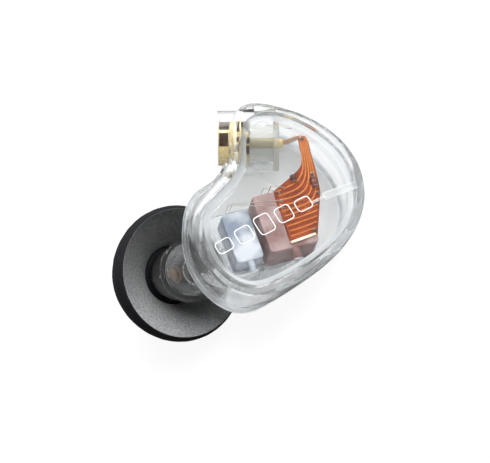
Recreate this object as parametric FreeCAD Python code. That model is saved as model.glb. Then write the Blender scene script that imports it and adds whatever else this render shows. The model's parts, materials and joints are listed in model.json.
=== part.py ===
import FreeCAD, Part
import math
import os

# One clear in-ear monitor earpiece: a domed face cover on a kidney-shaped housing, a coaxial cable
# socket in a round boss, two balanced-armature receivers with their flexible circuit, and a foam
# ear tip on an angled nozzle.  All sizes are in millimetres.
#
# Everything is drawn in the housing frame: X along the housing towards the socket end, Y across it,
# Z out of the face cover, with the cover's edge near Z = 0.  REST_* then lays the finished earpiece
# on a table, on its ear tip and its lower edge.

V = FreeCAD.Vector
Rotation = FreeCAD.Rotation
Placement = FreeCAD.Placement

# ------------------------------------------------------------------ driving dimensions
# outline of the face cover, clockwise seen from outside: x, y, and how far the housing stands
# outside that point at its shoulder and at the seam
COVER_OUTLINE = [
    (8.3, 2.2, 0.8, 0.3), (7.9, -1.0, 0.95, 0.2), (6.3, -4.2, 1.0, 0.1), (3.3, -6.4, 0.8, 0.0),
    (-0.4, -6.7, 0.75, -0.1), (-4.2, -5.3, 0.85, -0.1), (-7.6, -3.0, 0.9, 0.15),
    (-9.6, -0.3, 0.9, 0.7), (-9.1, 2.7, 0.9, 0.85), (-7.0, 5.0, 0.9, 1.0), (-4.1, 6.0, 0.9, 1.45),
    (-1.3, 5.2, 0.9, 2.4), (1.4, 4.7, 0.9, 1.7), (4.3, 5.6, 1.0, 0.6), (7.0, 5.2, 1.45, 0.5),
]
SHOULDER_RADIUS = 0.75
WALL = 0.8
SEAM_Z = -5.0             # where the main shell meets the ear-side shell
DOME_RADIUS = 48.0
DOME_TOP = 0.7
COVER_THICK = 0.9
COVER_GAP = 0.03
BOND_THICK = 0.08
GLUE_GAP = 0.02           # between a bonded piece and its neighbours
LEDGE_WIDTH = 0.7
LEDGE_BOTTOM = -1.9
SEAM_BEAD = 0.22
SEAM_PROUD = 0.06
# sections of the housing from top to bottom: (share of the seam's offsets, inset, Z)
OUTER_SECTIONS = [(0, 0, 2.2), (0, 0, 0.6), (0, 0, -1.2), (0.4, 0, -2.9), (1, 0, SEAM_Z),
                  (1, 0.55, -6.4), (1, 1.75, -7.6), (1, 3.6, -8.5)]
INNER_SECTIONS = [(0, WALL, -1.2), (0.4, WALL, -2.9), (1, WALL, SEAM_Z),
                  (1, WALL + 0.5, -6.2), (1, WALL + 1.5, -7.1), (1, WALL + 3.0, -7.7)]
RIB_START, RIB_END = V(1.33, -3.72, 0), V(3.95, -6.05, 0)   # flat index rib on the cover
RIB_WIDTH = 0.8
CREASE_START = V(-0.35, -2.45, 0)                           # thin crease that leads to it
CREASE_WIDTH = 0.22
RIB_RELIEF = 0.08

NOZZLE_ORIGIN = V(-6.23, 5.83, -9.9)       # centre of the ear tip's rear rim
NOZZLE_DIRECTION = V(0.189, 0.350, -0.917)  # into the ear
NOZZLE_BASE = (-1.8, 3.0)                  # distance along the nozzle, outer radius
NOZZLE_STEP = (2.2, 2.45)
NOZZLE_ROOT = V(-4.9, 2.3, -5.55)           # where the nozzle's neck grows out of the bowl
NOZZLE_WALL = 0.75
STEM_RADIUS = 1.5
STEM_BORE = 1.0
STEM_END = 7.4
STEM_ROOT = 1.2                            # how far the stem reaches back into the nozzle
STEM_LIP = 0.5                             # depth of the seat for the wax screen
STEM_LIP_BORE = 1.25
STEM_RIDGE_SPAN = (5.8, 6.2)
DAMPER_SPAN = (2.6, 4.4)
DAMPER_WALL = 0.15
DAMPER_CLOTH = (3.4, 3.55)
SCREEN_THICK = 0.18
SCREEN_HOLE = 0.14
SCREEN_ROWS = ((0.0, 1), (0.42, 6), (0.85, 12))   # radius of each ring of holes, and their number
STEM_RIDGE = 0.05
STEM_FIT = 0.07                            # radial clearance of the ear tip's core on the stem

TIP_OUTER = [(0.0, 6.2), (1.2, 6.42), (3.0, 5.88), (5.0, 4.98), (7.0, 3.95)]
TIP_NOSE = (8.9, 2.35)
TIP_NOSE_BEND = (8.35, 3.25)
TIP_RIM_BEND = (-0.08, 6.02)
TIP_FUNNEL = [(0.25, 5.75), (1.15, 4.2), (2.1, 3.1)]
TIP_CORE_RADIUS = 2.7
TIP_CORE_SPAN = (2.45, 8.0)
TIP_CORE_ROUND = 0.3
TIP_MOUTH_LIP = 0.35                       # how far the foam closes over the core's front

BOSS_CENTRE = V(4.85, 7.34, -4.4)          # centre of the boss's outer face
BOSS_DIRECTION = V(-0.334, 0.927, -0.170)   # out of the socket's mouth
BOSS_RADIUS = 3.1
BOSS_DEPTH = 3.4
BOSS_SLEEVE = (2.7, 5.2)                   # radius and depth of its inner sleeve
BARREL_RADIUS = 2.05
BARREL_BORE = 1.5
BARREL_SPAN = (-3.0, -0.1)
BARREL_GROOVE = (-1.9, -1.6, 1.65)
RING_SPAN = (-2.35, -1.85)
RING_RADIUS = 2.4
SOCKET_FLOOR = -2.5
BARREL_NECK = 1.3                          # bore of the barrel under the socket's floor
INSULATOR_RADIUS = 1.7
INSULATOR_END = -5.2
CONTACT_RADIUS = 0.42
CONTACT_BORE = 0.2
DISC_SPAN = (-5.75, -5.22)
DISC_RADIUS = 2.6
CONTACT_STUB = 0.35                        # of the contact past the disc
CONTACT_DEPTH = 1.6                        # of its bore
BARREL_CHAMFER = 0.12

RECEIVER_ANGLE = 39.0                      # long axis of both receivers from the housing's X
WOOFER = {"centre": V(-0.97, -1.18, 0), "top": -2.15, "size": (5.9, 4.8, 3.2), "split": 2.2}
TWEETER = {"centre": V(-3.9, 1.9, 0), "top": -2.95, "size": (5.0, 2.7, 2.4), "split": 1.6}
CASE_WALL = 0.18
CASE_CORNER = 0.4
CASE_EDGE = 0.12                           # rounding of a receiver's outer top edges
SPOUT_LENGTH = 1.0
SPOUT_SHARE = 0.42                         # spout radius as a share of the front volume's height
SPOUT_BORE_SHARE = 0.6
REED_THICK = 0.14
REED_WIDTH_SHARE = 0.3
REED_GAP = 0.12                            # air gap between the reed and each magnet
REED_END_GAP = 0.22
REED_ROOT_INSET = 0.5
YOKE_LENGTH_SHARE = 0.24
YOKE_WALL = 0.2
YOKE_SIDE = 0.3
YOKE_CLEARANCE = 0.02
COIL_SIDE = 0.35
COIL_CLEARANCE = 0.1
BASE_RISE = 0.35                           # of the armature's base over the reed
PIN_RADIUS = 0.07
PIN_INSET = 0.12                           # of the drive pin from the reed's tip
PIN_BOND = 0.03                            # clearance between the pin and the diaphragm
DIAPHRAGM_THICK = 0.08
DIAPHRAGM_RISE = 0.1
DIAPHRAGM_INSET = 0.1
TERMINAL_THICK = 0.15
TERMINAL_WIDTH_SHARE = 0.6

FLEX_THICK = 0.1
FLEX_LIFT = 0.01                           # adhesive under the flexible circuit
FLEX_OUTLINE = [
    (7.55, 0.75), (4.87, -0.75), (1.17, 0.80), (-3.27, -2.53), (-1.3, -4.5),
    (2.93, -3.26), (4.63, -2.15), (5.2, -1.85), (7.95, -0.15),
]

TRACE_START = V(0.2, -3.75, 0)             # copper stripes across the flexible circuit
TRACE_STEP = V(0.42, 0.34, 0)
TRACE_COUNT = 6
TRACE_SIZE = (2.2, 0.2, 0.03)
TRACE_ANGLE = 137.0
CAPACITOR_PLACE, CAPACITOR_SIZE = V(3.55, -2.35, 0), (1.0, 0.5, 0.35)
RESISTOR_PLACE, RESISTOR_SIZE = V(3.1, -0.45, 0), (0.8, 0.4, 0.25)
PAD_PLACES = [V(4.35, -1.95, 0), V(2.75, -3.05, 0), V(7.35, 0.2, 0), V(1.85, -3.35, 0),
              V(-0.95, -4.1, 0)]
LEAD_PADS = [V(1.8, 0.1, 0), V(1.15, 0.2, 0), V(0.5, -0.3, 0), V(-0.1, -0.75, 0)]
PAD_RADIUS = 0.24
TAIL_SIZE = (0.18, 0.44)                   # flat contact tail
TAIL_END = V(7.35, 0.45, 0)
TAIL_GAP = 0.06                            # from the contact, and over the flexible circuit's face
LEAD_RADIUS = 0.035                        # enamelled wires from the receivers' terminals
LEAD_OUT = 0.25

CRADLE_SPAN_X, CRADLE_SPAN_Y = (-3.4, 3.2), (-2.6, 6.0)
CRADLE_THICK = 0.35
CRADLE_FOOT = 0.8
CRADLE_FOOT_PLACES = [(x, y) for x in (-2.6, 2.0) for y in (-1.9, 2.2)]
CRADLE_REACH = 3.0                         # feet are cut to the shell's inner face

MARK_START = V(-0.25, -2.2, 0)              # the row of raised bars on the cover
MARK_STEP = V(-1.7, 1.33, 0)
MARK_HEIGHTS = [1.3, 1.6, 1.95, 1.6, 1.3]
MARK_WIDTH = 1.3
MARK_LINE = 0.15
MARK_CORNER = 0.5
MARK_RELIEF = 0.1
MARK_REACH = 2.0                            # drawing height of the marks, before the dome cuts them

TUBE_RADIUS = 0.5                          # sound tubes
TUBE_BORE = 0.32
WOOFER_TUBE = [V(-4.46, -4.005, -2.65), V(-5.34, -2.14, -5.0), V(-6.1, 0.0, -6.35), V(-6.0, 2.9, -7.2)]
TWEETER_TUBE = [V(-7.04, -0.642, -3.35), V(-7.6, 0.9, -4.9), V(-7.0, 3.7, -6.9)]
TUBE_CLEARANCE = 0.1                       # of the cradle round a sound tube

# the earpiece lies on its ear tip and on the lower edge of its ear-side shell
REST_ROTATION = Rotation(V(0, 1, 0), 4.65).multiply(Rotation(V(1, 0, 0), 44.4))

OUT = "parts"


# ------------------------------------------------------------------ helpers
def closed_spline(points):
    curve = Part.BSplineCurve()
    curve.interpolate(Points=points, PeriodicFlag=True)
    return curve


def contour(inset, z, seam_share=0.0):
    """Closed wire at height z: the housing's outline there, moved inwards by inset."""
    base = closed_spline([V(x, y, 0) for x, y, _, _ in COVER_OUTLINE])
    points = []
    for x, y, shoulder, seam in COVER_OUTLINE:
        tangent = base.tangent(base.parameter(V(x, y, 0)))[0]
        offset = shoulder + (seam - shoulder) * seam_share - inset
        points.append(V(x - tangent.y * offset, y + tangent.x * offset, z))
    return Part.Wire([closed_spline(points).toShape()])


def cover_prism(inset, z_low, z_high):
    """Upright prism on the cover's own outline, moved inwards by inset."""
    base = closed_spline([V(x, y, 0) for x, y, _, _ in COVER_OUTLINE])
    points = []
    for x, y, _, _ in COVER_OUTLINE:
        tangent = base.tangent(base.parameter(V(x, y, 0)))[0]
        points.append(V(x + tangent.y * inset, y - tangent.x * inset, z_low))
    face = Part.Face(Part.Wire([closed_spline(points).toShape()]))
    return face.extrude(V(0, 0, z_high - z_low))


def skin(sections, inset=0.0):
    """Closed body through the housing's sections."""
    wires = [contour(base + inset, z, share) for share, base, z in sections]
    return Part.makeLoft(wires, True, False)


def interior():
    """The room inside the housing, under the ledge and between its edges."""
    lower = skin(INNER_SECTIONS, GLUE_GAP).common(slab(-20, LEDGE_BOTTOM - GLUE_GAP))
    return lower.fuse(cover_prism(LEDGE_WIDTH + GLUE_GAP, LEDGE_BOTTOM - 1, -COVER_THICK))


def slab(z_low, z_high):
    return block(-40, 40, -40, 40, z_low, z_high)


def dome(depth):
    """Ball whose top is the cover's outer face, or lies depth under it."""
    return Part.makeSphere(DOME_RADIUS - depth, V(-0.5, -0.4, DOME_TOP - DOME_RADIUS))


def block(x0, x1, y0, y1, z0, z1):
    return Part.makeBox(x1 - x0, y1 - y0, z1 - z0, V(x0, y0, z0))


def rounded_block(length, width, z0, z1, radius):
    shape = block(-length / 2, length / 2, -width / 2, width / 2, z0, z1)
    upright = [e for e in shape.Edges if abs(e.Vertexes[0].Z - e.Vertexes[1].Z) > (z1 - z0) / 2]
    return shape.makeFillet(radius, upright)


def disc(radius, z0, z1):
    return Part.makeCylinder(radius, z1 - z0, V(0, 0, z0))


def tube(outer, inner, z0, z1):
    return disc(outer, z0, z1).cut(disc(inner, z0 - 1, z1 + 1))


def cone(r0, z0, r1, z1):
    return Part.makeCone(r0, r1, z1 - z0, V(0, 0, z0))


def placed(shape, placement):
    copy = shape.copy()
    copy.Placement = placement.multiply(copy.Placement)
    return copy


def along(origin, direction):
    """Placement that turns local Z to direction, at origin."""
    return Placement(origin, Rotation(V(0, 0, 1), direction))


def rod(start, end, radius):
    run = end - start
    return Part.makeCylinder(radius, run.Length, start, run)


def bent_tube(points, radius):
    """Straight runs with ball elbows and flat ends."""
    solid = rod(points[0], points[1], radius)
    for start, end in zip(points[1:], points[2:]):
        solid = solid.fuse([Part.makeSphere(radius, start), rod(start, end, radius)])
    return solid.removeSplitter()


def capsule(start, end, radius):
    balls = [Part.makeSphere(radius, start), Part.makeSphere(radius, end)]
    return rod(start, end, radius).fuse(balls).removeSplitter()


NOZZLE = along(NOZZLE_ORIGIN, NOZZLE_DIRECTION)
BOSS = along(BOSS_CENTRE, BOSS_DIRECTION)

nodes = {}
places = {}
directions = {}


# ------------------------------------------------------------------ housing
def raised_bar(start, end, width, relief):
    """Flat bar printed on the cover from start to end, relief above the dome."""
    run = end - start
    bar = block(0, run.Length, -width / 2, width / 2, 0, MARK_REACH)
    return placed(bar, Placement(start, Rotation(V(1, 0, 0), run))).common(dome(-relief))


def housing():
    body = skin(OUTER_SECTIONS)
    top = body.common(slab(SEAM_Z, 3)).common(dome(0))
    rim = [e for e in top.Edges if e.BoundBox.ZMin > SEAM_Z + 1 and e.BoundBox.XLength > 10]
    top = top.makeFillet(SHOULDER_RADIUS, rim)

    cover = top.common(cover_prism(COVER_GAP, SEAM_Z, 3)).cut(dome(COVER_THICK))
    ring = cover_prism(COVER_GAP, SEAM_Z, 3).cut(cover_prism(LEDGE_WIDTH, SEAM_Z - 1, 4))
    bond = ring.common(dome(COVER_THICK + GLUE_GAP)).cut(dome(COVER_THICK + BOND_THICK - GLUE_GAP))

    pocket = cover_prism(0, SEAM_Z, 3).cut(dome(COVER_THICK + BOND_THICK))
    hollow = skin(INNER_SECTIONS)
    shell = top.cut(pocket).cut(cover_prism(LEDGE_WIDTH, SEAM_Z - 1, 3))
    shell = shell.cut(hollow.common(slab(SEAM_Z - 1, LEDGE_BOTTOM)))
    boss = disc(BOSS_RADIUS, -BOSS_DEPTH, 0).fuse(disc(BOSS_SLEEVE[0], -BOSS_SLEEVE[1], 0))
    boss = placed(boss, BOSS).cut(pocket)
    bore = disc(BARREL_RADIUS + GLUE_GAP, BARREL_SPAN[0] - GLUE_GAP, 1)
    bore = bore.fuse(disc(INSULATOR_RADIUS + GLUE_GAP, -7, 1))
    bore = bore.fuse(disc(RING_RADIUS + GLUE_GAP, RING_SPAN[0] - GLUE_GAP, RING_SPAN[1] + GLUE_GAP))
    shell = shell.fuse(boss).cut(placed(bore, BOSS)).removeSplitter()

    clear_boss = placed(disc(BOSS_RADIUS + GLUE_GAP, -BOSS_SLEEVE[1] - 0.1, 2), BOSS)
    bead_slab = slab(SEAM_Z - SEAM_BEAD + GLUE_GAP, SEAM_Z - GLUE_GAP)
    bead = skin(OUTER_SECTIONS, -SEAM_PROUD).common(bead_slab).cut(hollow).cut(clear_boss)

    base_at, base_radius = NOZZLE_BASE
    step_at, step_radius = NOZZLE_STEP
    base = NOZZLE.multVec(V(0, 0, base_at))
    nozzle = placed(cone(base_radius, base_at, step_radius, step_at), NOZZLE)
    nozzle = nozzle.fuse(capsule(NOZZLE_ROOT, base, base_radius))
    inner_radius = base_radius - NOZZLE_WALL
    throat = placed(cone(inner_radius, base_at, step_radius - NOZZLE_WALL, step_at - 1.2), NOZZLE)
    throat = throat.fuse(capsule(NOZZLE_ROOT, base, inner_radius))
    ear_side = body.fuse(nozzle).common(slab(-20, SEAM_Z - SEAM_BEAD))
    ear_side = ear_side.cut(hollow.fuse(throat))
    ear_side = ear_side.cut(placed(disc(STEM_RADIUS + GLUE_GAP, -6, 9), NOZZLE))
    ear_side = ear_side.cut(clear_boss).removeSplitter()

    nodes["face_cover"] = cover.removeSplitter()
    nodes["cover_bond"] = bond
    nodes["main_shell"] = shell
    nodes["seam_bead"] = bead
    nodes["nozzle_shell"] = ear_side


def cover_marks():
    """Printed on the cover: a row of rounded bar outlines of different heights, and the index rib."""
    under = dome(-GLUE_GAP / 2)
    layer = dome(-MARK_RELIEF).cut(under)
    bars = []
    turn = Rotation(V(1, 0, 0), MARK_STEP)
    for index, height in enumerate(MARK_HEIGHTS):
        outer = rounded_block(MARK_WIDTH, height, 0, MARK_REACH, MARK_CORNER)
        inner = rounded_block(MARK_WIDTH - 2 * MARK_LINE, height - 2 * MARK_LINE, 0, MARK_REACH,
                              MARK_CORNER - MARK_LINE)
        place = Placement(MARK_START + MARK_STEP * index, turn)
        bars.append(placed(outer.cut(inner), place).common(layer))
    nodes["cover_marks"] = Part.makeCompound(bars)
    rib = raised_bar(RIB_START, RIB_END, RIB_WIDTH, RIB_RELIEF)
    rib = rib.fuse(raised_bar(CREASE_START, RIB_START, CREASE_WIDTH, RIB_RELIEF / 2))
    nodes["index_rib"] = rib.cut(under).removeSplitter()


# ------------------------------------------------------------------ nozzle and ear tip
def nozzle_parts():
    seat = STEM_END - STEM_LIP
    stem = tube(STEM_RADIUS, STEM_BORE, NOZZLE_STEP[0] - STEM_ROOT, seat)
    ridge = tube(STEM_RADIUS + STEM_RIDGE, STEM_BORE, *STEM_RIDGE_SPAN)
    lip = tube(STEM_RADIUS, STEM_LIP_BORE, seat, STEM_END)
    nodes["nozzle_tube"] = placed(stem.fuse(ridge).fuse(lip).removeSplitter(), NOZZLE)
    damper = tube(STEM_BORE, STEM_BORE - DAMPER_WALL, *DAMPER_SPAN)
    cloth = disc(STEM_BORE - DAMPER_WALL / 2, *DAMPER_CLOTH)
    nodes["acoustic_damper"] = placed(damper.fuse(cloth), NOZZLE)
    screen = disc(STEM_LIP_BORE, seat, seat + SCREEN_THICK)
    for ring_radius, count in SCREEN_ROWS:
        for index in range(count):
            angle = 2 * math.pi * index / count
            centre = V(ring_radius * math.cos(angle), ring_radius * math.sin(angle), seat - SCREEN_THICK)
            screen = screen.cut(Part.makeCylinder(SCREEN_HOLE, 3 * SCREEN_THICK, centre))
    nodes["wax_screen"] = placed(screen, NOZZLE)


def revolved(profile_edges):
    face = Part.Face(Part.Wire(profile_edges))
    return face.revolve(V(0, 0, 0), V(0, 0, 1), 360)


def ear_tip():
    def at(point):
        return V(point[1], 0, point[0])

    core_rear, core_front = TIP_CORE_SPAN
    side = Part.BSplineCurve()
    side.interpolate([at(p) for p in TIP_OUTER])
    nose = Part.Arc(at(TIP_OUTER[-1]), at(TIP_NOSE_BEND), at(TIP_NOSE))
    funnel = Part.BSplineCurve()
    funnel.interpolate([at(p) for p in TIP_FUNNEL] + [at((core_rear, TIP_CORE_RADIUS))])
    rim = Part.Arc(at(TIP_FUNNEL[0]), at(TIP_RIM_BEND), at(TIP_OUTER[0]))
    inner = [at(TIP_NOSE), at((core_front, TIP_NOSE[1] - TIP_MOUTH_LIP)),
             at((core_front, TIP_CORE_RADIUS)), at((core_rear, TIP_CORE_RADIUS))]
    edges = [side.toShape(), nose.toShape()]
    edges += [Part.makeLine(p, q) for p, q in zip(inner, inner[1:])]
    edges += [funnel.toShape(), rim.toShape()]
    nodes["foam_sleeve"] = placed(revolved(edges), NOZZLE)

    bore = STEM_RADIUS + STEM_RIDGE + STEM_FIT
    core = tube(TIP_CORE_RADIUS, bore, core_rear, core_front)
    collar = [e for e in core.Edges if abs(e.BoundBox.ZMax - core_rear) < 0.01
              and e.Length > 2 * math.pi * bore + 1]
    core = core.makeFillet(TIP_CORE_ROUND, collar)
    nodes["tip_core"] = placed(core, NOZZLE)


# ------------------------------------------------------------------ cable socket
def socket_parts():
    low, high = BARREL_SPAN
    groove_low, groove_high, groove_radius = BARREL_GROOVE
    barrel = tube(BARREL_RADIUS, BARREL_BORE, SOCKET_FLOOR, high)
    barrel = barrel.fuse(tube(BARREL_RADIUS, BARREL_NECK, low, SOCKET_FLOOR))
    barrel = barrel.cut(disc(groove_radius, groove_low, groove_high))
    mouth = [e for e in barrel.Edges if abs(e.BoundBox.ZMin - high) < 0.01
             and abs(e.Length - 2 * math.pi * BARREL_BORE) < 0.1]
    barrel = barrel.makeChamfer(BARREL_CHAMFER, mouth)
    nodes["socket_barrel"] = placed(barrel, BOSS)
    nodes["retaining_ring"] = placed(tube(RING_RADIUS, BARREL_RADIUS, *RING_SPAN), BOSS)
    insulator = tube(INSULATOR_RADIUS, CONTACT_RADIUS, INSULATOR_END, low).fuse(
        tube(BARREL_NECK, CONTACT_RADIUS, low, SOCKET_FLOOR))
    nodes["socket_insulator"] = placed(insulator.removeSplitter(), BOSS)
    contact = disc(CONTACT_RADIUS, DISC_SPAN[0] - CONTACT_STUB, SOCKET_FLOOR).cut(
        disc(CONTACT_BORE, SOCKET_FLOOR - CONTACT_DEPTH, SOCKET_FLOOR + 1))
    nodes["centre_contact"] = placed(contact, BOSS)
    flange = placed(tube(DISC_RADIUS, CONTACT_RADIUS, *DISC_SPAN), BOSS)
    nodes["socket_disc"] = flange.common(interior())


# ------------------------------------------------------------------ receivers
def receiver(name, centre, top, size, split):
    """A balanced-armature receiver, its spout at local -X and its hinges at local +X."""
    length, width, height = size
    half, side = length / 2 - CASE_WALL, width / 2 - CASE_WALL
    place = Placement(V(centre.x, centre.y, top - height), Rotation(V(0, 0, 1), RECEIVER_ANGLE))

    def keep(part, shape):
        nodes[f"{name}_{part}"] = placed(shape, place)

    cavity = rounded_block(2 * half, 2 * side, CASE_WALL, height - CASE_WALL, CASE_CORNER - CASE_WALL)
    can = rounded_block(length, width, 0, height, CASE_CORNER)
    can = can.makeFillet(CASE_EDGE, [e for e in can.Edges if e.BoundBox.ZLength < CASE_EDGE])
    can = can.cut(cavity)
    keep("case", can.common(slab(0, split)))
    spout_z = (split + height) / 2
    spout_radius = (height - split) * SPOUT_SHARE
    spout_bore = spout_radius * SPOUT_BORE_SHARE
    hole = Part.makeCylinder(spout_bore, length, V(0, 0, spout_z), V(-1, 0, 0))
    keep("cover", can.common(slab(split, height)).cut(hole))
    spout = Part.makeCylinder(spout_radius, SPOUT_LENGTH, V(-length / 2, 0, spout_z), V(-1, 0, 0))
    keep("spout", spout.cut(hole))

    reed_z = (CASE_WALL + split) / 2
    reed_width = width * REED_WIDTH_SHARE
    reed_root, reed_tip = half - REED_ROOT_INSET, -half + REED_END_GAP
    base_half = width / 4
    keep("armature_base", block(reed_root + YOKE_CLEARANCE, half - YOKE_CLEARANCE,
                                -base_half, base_half, CASE_WALL, reed_z + BASE_RISE))
    keep("reed", block(reed_tip, reed_root, -reed_width / 2, reed_width / 2,
                       reed_z - REED_THICK / 2, reed_z + REED_THICK / 2))

    yoke_start = -half + REED_ROOT_INSET
    yoke_end = yoke_start + length * YOKE_LENGTH_SHARE
    magnet_in = REED_THICK / 2 + REED_GAP
    yoke_out = reed_z - CASE_WALL - YOKE_CLEARANCE
    yoke_in = yoke_out - YOKE_WALL
    wide = reed_width / 2 + REED_GAP
    window = block(-length, length, -wide, wide, reed_z - yoke_in, reed_z + yoke_in)
    keep("yoke", block(yoke_start, yoke_end, -wide - YOKE_SIDE, wide + YOKE_SIDE,
                       reed_z - yoke_out, reed_z + yoke_out).cut(window))
    keep("magnets", Part.makeCompound([
        block(yoke_start, yoke_end, -wide, wide, reed_z + low, reed_z + high)
        for low, high in ((magnet_in, yoke_in), (-yoke_in, -magnet_in))]))
    coil = block(yoke_end + COIL_CLEARANCE, reed_root - COIL_CLEARANCE, -wide - COIL_SIDE,
                 wide + COIL_SIDE, reed_z - yoke_in, reed_z + yoke_in)
    keep("coil", coil.cut(block(-length, length, -wide, wide,
                                reed_z - magnet_in, reed_z + magnet_in)))

    diaphragm_z = split + DIAPHRAGM_RISE
    pin_low = reed_z + REED_THICK / 2
    pin_x = reed_tip + PIN_INSET
    keep("drive_pin", Part.makeCylinder(PIN_RADIUS, diaphragm_z - PIN_BOND - pin_low,
                                        V(pin_x, 0, pin_low)))
    keep("diaphragm", rounded_block(2 * (half - DIAPHRAGM_INSET), 2 * (side - DIAPHRAGM_INSET),
                                    diaphragm_z, diaphragm_z + DIAPHRAGM_THICK,
                                    CASE_CORNER - CASE_WALL))
    board_half = width * TERMINAL_WIDTH_SHARE / 2
    board_end = length / 2 + TERMINAL_THICK
    keep("terminal_board", block(length / 2, board_end, -board_half, board_half,
                                 CASE_WALL, split - CASE_WALL))

    hinge_x = half - DIAPHRAGM_INSET
    places[f"{name}_reed"] = place.multVec(V(reed_root, 0, reed_z))
    places[f"{name}_diaphragm"] = place.multVec(V(hinge_x, 0, diaphragm_z + DIAPHRAGM_THICK / 2))
    directions["receiver_hinges"] = place.Rotation.multVec(V(0, -1, 0))
    print(name, "levers from the pin", reed_root - pin_x, hinge_x - pin_x)
    spout_end = place.multVec(V(-length / 2 - SPOUT_LENGTH - GLUE_GAP, 0, spout_z))
    terminals = [[place.multVec(V(board_end + out, across, split / 2)) for out in (0, LEAD_OUT)]
                 for across in (board_half / 4, board_half * 3 / 4)]
    return spout_end, terminals


# ------------------------------------------------------------------ wiring and mounting inside
def raised(point, z):
    return V(point.x, point.y, z)


def wiring(terminals):
    low = WOOFER["top"] + FLEX_LIFT
    top = low + FLEX_THICK
    outline = Part.makePolygon([V(x, y, low) for x, y in FLEX_OUTLINE + FLEX_OUTLINE[:1]])
    nodes["flex_circuit"] = Part.Face(outline).extrude(V(0, 0, FLEX_THICK))

    length, width, thick = TRACE_SIZE
    stripe = block(0, length, -width / 2, width / 2, 0, thick)
    across = Rotation(V(0, 0, 1), TRACE_ANGLE)
    nodes["flex_traces"] = Part.makeCompound([
        placed(stripe, Placement(raised(TRACE_START + TRACE_STEP * index, top), across))
        for index in range(TRACE_COUNT)])

    turn = Rotation(V(0, 0, 1), RECEIVER_ANGLE)
    for name, place, size in (("capacitor", CAPACITOR_PLACE, CAPACITOR_SIZE),
                              ("resistor", RESISTOR_PLACE, RESISTOR_SIZE)):
        body = block(-size[0] / 2, size[0] / 2, -size[1] / 2, size[1] / 2, 0, size[2])
        nodes[f"crossover_{name}"] = placed(body, Placement(raised(place, top), turn))
    over = slab(top, top + 1)
    nodes["solder_joints"] = Part.makeCompound([
        Part.makeSphere(PAD_RADIUS, raised(pad, top)).common(over)
        for pad in PAD_PLACES + LEAD_PADS])

    tail_start = BOSS.multVec(V(0, 0, DISC_SPAN[0] - CONTACT_STUB - TAIL_GAP))
    run = raised(TAIL_END, top + TAIL_GAP + TAIL_SIZE[1] / 2) - tail_start
    strip = block(-TAIL_SIZE[0] / 2, TAIL_SIZE[0] / 2, -TAIL_SIZE[1] / 2, TAIL_SIZE[1] / 2,
                  0, run.Length)
    nodes["contact_tail"] = placed(strip, along(tail_start, run))

    leads = []
    for (start, out), pad in zip(terminals, LEAD_PADS):
        over_pad = raised(pad, top + PAD_RADIUS + LEAD_RADIUS)
        leads.append(bent_tube([start, out, raised(out, over_pad.z), over_pad], LEAD_RADIUS))
    nodes["receiver_leads"] = Part.makeCompound(leads)


def sound_tubes(spouts):
    for name, start, points in (("woofer", spouts[0], WOOFER_TUBE),
                                ("tweeter", spouts[1], TWEETER_TUBE)):
        bore_start = start - (points[0] - start)
        bore_end = points[-1] + (points[-1] - points[-2])
        hose = bent_tube([start] + points, TUBE_RADIUS)
        nodes[f"{name}_sound_tube"] = hose.cut(
            bent_tube([bore_start] + points[:-1] + [bore_end], TUBE_BORE))


def cradle():
    """Moulded seat under the receivers, with feet that reach the shell and room for the tubes."""
    seat = block(*CRADLE_SPAN_X, *CRADLE_SPAN_Y, -CRADLE_THICK, 0)
    seat = seat.fuse([block(x, x + CRADLE_FOOT, y, y + CRADLE_FOOT, -CRADLE_REACH, -CRADLE_THICK)
                      for x, y in CRADLE_FOOT_PLACES])
    bottom = WOOFER["top"] - WOOFER["size"][2] - GLUE_GAP
    seat = placed(seat, Placement(WOOFER["centre"] + V(0, 0, bottom),
                                  Rotation(V(0, 0, 1), RECEIVER_ANGLE)))
    seat = seat.common(skin(INNER_SECTIONS, GLUE_GAP))
    for points in (WOOFER_TUBE, TWEETER_TUBE):
        seat = seat.cut(bent_tube(points, TUBE_RADIUS + TUBE_CLEARANCE))
    nodes["receiver_cradle"] = seat.removeSplitter()


housing()
cover_marks()
nozzle_parts()
ear_tip()
socket_parts()
woofer_spout, woofer_terminals = receiver("woofer", **WOOFER)
tweeter_spout, tweeter_terminals = receiver("tweeter", **TWEETER)
wiring(woofer_terminals + tweeter_terminals)
sound_tubes([woofer_spout, tweeter_spout])
cradle()
places["socket_mouth"] = BOSS.multVec(V(0, 0, BARREL_SPAN[1]))
places["socket_floor"] = BOSS.multVec(V(0, 0, SOCKET_FLOOR))
places["tip_rim"] = NOZZLE_ORIGIN
places["tip_nose"] = NOZZLE.multVec(V(0, 0, TIP_NOSE[0]))
directions["socket"] = V(BOSS_DIRECTION).normalize()
directions["nozzle"] = V(NOZZLE_DIRECTION).normalize()

# lay the earpiece down, with the middle of its footprint at the origin
turned = {node: placed(shape, Placement(V(), REST_ROTATION)) for node, shape in nodes.items()}
extent = FreeCAD.BoundBox()
for shape in turned.values():
    extent.add(shape.optimalBoundingBox(False))
shift = V(-extent.Center.x, -extent.Center.y, -extent.ZMin)

os.makedirs(OUT, exist_ok=True)
for node, shape in turned.items():
    final = placed(shape, Placement(shift, Rotation()))
    if not final.isValid():
        print("invalid", node)
    final.exportStep(f"{OUT}/{node}.step")
    print(node, len(final.Solids), round(final.Volume, 3))
print("size", extent.XLength, extent.YLength, extent.ZLength, "shift", tuple(shift))
for label, point in places.items():
    print("place", label, tuple(REST_ROTATION.multVec(point) + shift))
for label, direction in directions.items():
    print("direction", label, tuple(REST_ROTATION.multVec(direction)))
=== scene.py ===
import json
import math

import bpy
import bmesh
from mathutils import Matrix, Vector, noise


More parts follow.
